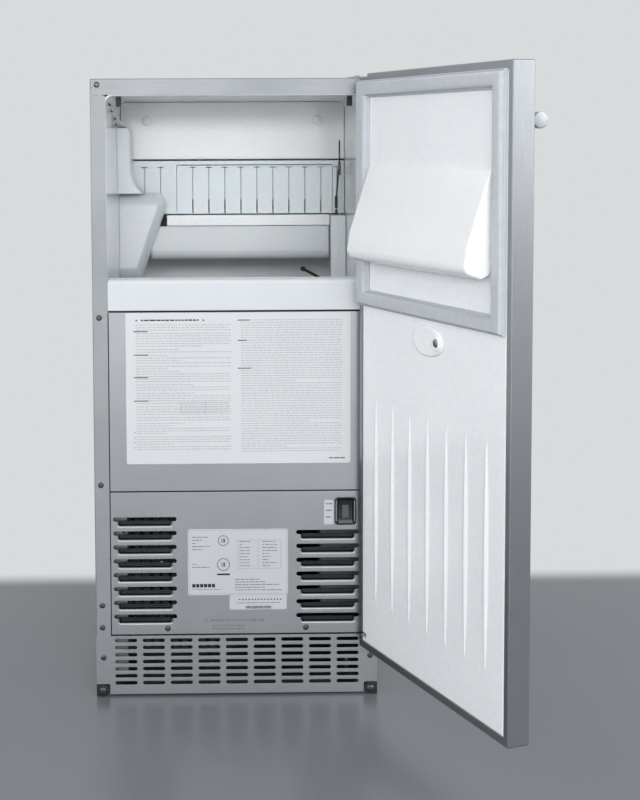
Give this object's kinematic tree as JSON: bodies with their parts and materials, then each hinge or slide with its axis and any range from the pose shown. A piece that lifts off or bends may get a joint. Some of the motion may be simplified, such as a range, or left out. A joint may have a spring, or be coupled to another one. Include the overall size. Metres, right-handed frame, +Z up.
{
  "type": "ice maker",
  "caption": "Built-in under-counter clear-ice maker, door swung open on its right hinge, with insulated bin, freezing chamber, louvred service panel and slotted kick plate.",
  "frame": {"origin": "on the floor, under the centre of the bounding box with the door open as at rest", "axes": "+X to the cabinet's right seen from the front, +Y into its depth, +Z up"},
  "size_m": [0.5276, 0.9572, 0.8237],
  "materials": {
    "stainless": "satin",
    "galvanised": "matte",
    "zinc": "satin",
    "white_abs": "gloss",
    "milky_abs": "satin",
    "black_plastic": "matte",
    "gloss_black": "gloss",
    "gasket": "matte",
    "foam": "matte",
    "label_film": "matte",
    "tinned_copper": "satin",
    "copper": "satin",
    "brass": "satin",
    "black_paint": "satin",
    "aluminium": "satin"
  },
  "bodies": {
    "cabinet": {"back_panel": "galvanised", "base_pan": "galvanised", "bin_liner": "white_abs", "bin_lip": "white_abs", "bin_probe": "black_plastic", "cabinet_insulation": "foam", "ceiling_clip_left": "black_plastic", "ceiling_clip_right": "black_plastic", "circulation_pump": "black_plastic", "compressor": "black_paint", "condenser": "aluminium", "control_box": "black_plastic", "curtain_header": "milky_abs", "curtain_ledge": "white_abs", "drain_spigot": "black_plastic", "evaporator_coil": "copper", "evaporator_plate": "tinned_copper", "evaporator_shroud": "white_abs", "fan_motor": "black_paint", "fan_shroud": "galvanised", "fill_cover": "milky_abs", "filter_drier": "copper", "instruction_label": "label_film", "instruction_panel": "stainless", "kick_cap_left": "black_plastic", "kick_cap_right": "black_plastic", "kick_plate": "stainless", "left_side_panel": "stainless", "lower_hinge_bracket": "zinc", "probe_housing": "milky_abs", "pump_cover": "milky_abs", "rating_label": "label_film", "right_side_panel": "stainless", "service_panel": "stainless", "spray_bar": "milky_abs", "switch_housing": "black_plastic", "top_cover": "stainless", "upper_hinge_bracket": "zinc", "water_inlet_valve": "brass", "water_trough": "white_abs"},
    "door": {"door_skin": "stainless", "door_insulation": "foam", "door_liner": "white_abs", "door_gasket": "gasket", "ice_deflector": "white_abs", "door_boss_cover": "white_abs", "door_boss_screw": "zinc", "handle_bar": "stainless", "handle_post_left": "black_plastic", "handle_post_right": "black_plastic", "upper_hinge_pin": "zinc", "lower_hinge_pin": "zinc"},
    "rocker": {"rocker": "gloss_black"},
    "curtain": {"water_curtain": "milky_abs"},
    "fan": {"fan_blade": "black_plastic"},
    "impeller": {"pump_impeller": "white_abs"},
    "levelling_foot_front_left": {"levelling_foot_front_left": "black_plastic"},
    "levelling_foot_front_right": {"levelling_foot_front_right": "black_plastic"},
    "levelling_foot_rear_left": {"levelling_foot_rear_left": "black_plastic"},
    "levelling_foot_rear_right": {"levelling_foot_rear_right": "black_plastic"}
  },
  "joints": [
    {"name": "door_hinge", "type": "hinge", "parent": "cabinet", "child": "door", "pos_m": [0.10151, -0.13349, 0.45], "axis": [0, 0, 1], "range_deg": [-110.56, 4.44]},
    {"name": "rocker_tilt", "type": "hinge", "parent": "cabinet", "child": "rocker", "pos_m": [0.06831, -0.10539, 0.2484], "axis": [1, 0, 0], "range_deg": [-8, 8]},
    {"name": "curtain_swing", "type": "hinge", "parent": "cabinet", "child": "curtain", "pos_m": [-0.04629, 0.18636, 0.7022], "axis": [-1, 0, 0], "range_deg": [0, 50]},
    {"name": "fan_spin", "type": "hinge", "parent": "cabinet", "child": "fan", "pos_m": [-0.16129, -0.03239, 0.125], "axis": [0, 1, 0], "continuous": true},
    {"name": "impeller_spin", "type": "hinge", "parent": "cabinet", "child": "impeller", "pos_m": [-0.22629, 0.15261, 0.578], "axis": [0, 0, 1], "continuous": true},
    {"name": "levelling_foot_front_left_turn", "type": "hinge", "parent": "cabinet", "child": "levelling_foot_front_left", "pos_m": [-0.22629, -0.06439, 0.01], "axis": [0, 0, 1], "continuous": true},
    {"name": "levelling_foot_front_right_turn", "type": "hinge", "parent": "cabinet", "child": "levelling_foot_front_right", "pos_m": [0.07371, -0.06439, 0.01], "axis": [0, 0, 1], "continuous": true},
    {"name": "levelling_foot_rear_left_turn", "type": "hinge", "parent": "cabinet", "child": "levelling_foot_rear_left", "pos_m": [-0.22629, 0.41561, 0.01], "axis": [0, 0, 1], "continuous": true},
    {"name": "levelling_foot_rear_right_turn", "type": "hinge", "parent": "cabinet", "child": "levelling_foot_rear_right", "pos_m": [0.07371, 0.41561, 0.01], "axis": [0, 0, 1], "continuous": true}
  ]
}
